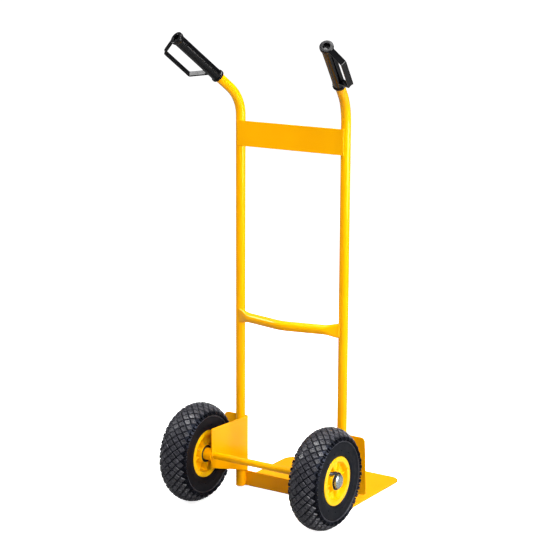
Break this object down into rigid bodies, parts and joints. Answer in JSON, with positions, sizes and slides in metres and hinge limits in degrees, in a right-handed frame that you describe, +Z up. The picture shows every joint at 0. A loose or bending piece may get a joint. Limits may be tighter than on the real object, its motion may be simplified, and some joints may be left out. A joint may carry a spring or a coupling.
{
  "type": "hand truck",
  "caption": "Upright two-wheeled hand truck: tubular steel frame bent back to guarded hand grips, flat toe plate, wheel guards and pneumatic wheels on a fixed axle.",
  "frame": {"origin": "middle of the footprint, on the floor the truck stands on", "axes": "+Z up, +Y forward over the toe plate, X across the truck along the axle"},
  "size_m": [0.5222, 0.56, 1.2167],
  "materials": {
    "frame_paint": "glossy yellow powder coat",
    "rim_plastic": "glossy moulded yellow",
    "tyre_rubber": "moulded matt rubber",
    "tube_rubber": "smooth butyl rubber",
    "grip_plastic": "glossy black moulding",
    "zinc_steel": "bright plated",
    "bearing_steel": "ground",
    "seal_rubber": "satin black"
  },
  "bodies": {
    "frame": {"left_upright": "frame_paint", "right_upright": "frame_paint", "cross_plate": "frame_paint", "middle_crossbar": "frame_paint", "toe_plate": "frame_paint", "left_axle_bracket": "frame_paint", "right_axle_bracket": "frame_paint", "axle": "frame_paint", "left_axle_collar": "frame_paint", "right_axle_collar": "frame_paint", "left_grip": "grip_plastic", "left_axle_cap": "zinc_steel", "left_axle_washer": "zinc_steel", "left_bearing_sleeve": "bearing_steel", "left_outboard_inner_race": "bearing_steel", "left_inboard_inner_race": "bearing_steel", "right_grip": "grip_plastic", "right_axle_cap": "zinc_steel", "right_axle_washer": "zinc_steel", "right_bearing_sleeve": "bearing_steel", "right_outboard_inner_race": "bearing_steel", "right_inboard_inner_race": "bearing_steel"},
    "left_wheel": {"left_tyre": "tyre_rubber", "left_inner_tube": "tube_rubber", "left_wheel_rim": "rim_plastic", "left_valve_stem": "tube_rubber", "left_valve_cap": "tube_rubber", "left_outboard_outer_race": "bearing_steel", "left_inboard_outer_race": "bearing_steel", "left_outboard_bearing_balls": "bearing_steel", "left_inboard_bearing_balls": "bearing_steel", "left_outboard_bearing_seals": "seal_rubber", "left_inboard_bearing_seals": "seal_rubber"},
    "right_wheel": {"right_tyre": "tyre_rubber", "right_inner_tube": "tube_rubber", "right_wheel_rim": "rim_plastic", "right_valve_stem": "tube_rubber", "right_valve_cap": "tube_rubber", "right_outboard_outer_race": "bearing_steel", "right_inboard_outer_race": "bearing_steel", "right_outboard_bearing_balls": "bearing_steel", "right_inboard_bearing_balls": "bearing_steel", "right_outboard_bearing_seals": "seal_rubber", "right_inboard_bearing_seals": "seal_rubber"}
  },
  "joints": [
    {"name": "left_wheel_spin", "type": "hinge", "parent": "frame", "child": "left_wheel", "pos_m": [-0.197, -0.15, 0.13], "axis": [1, 0, 0], "continuous": true},
    {"name": "right_wheel_spin", "type": "hinge", "parent": "frame", "child": "right_wheel", "pos_m": [0.197, -0.15, 0.13], "axis": [1, 0, 0], "continuous": true}
  ]
}
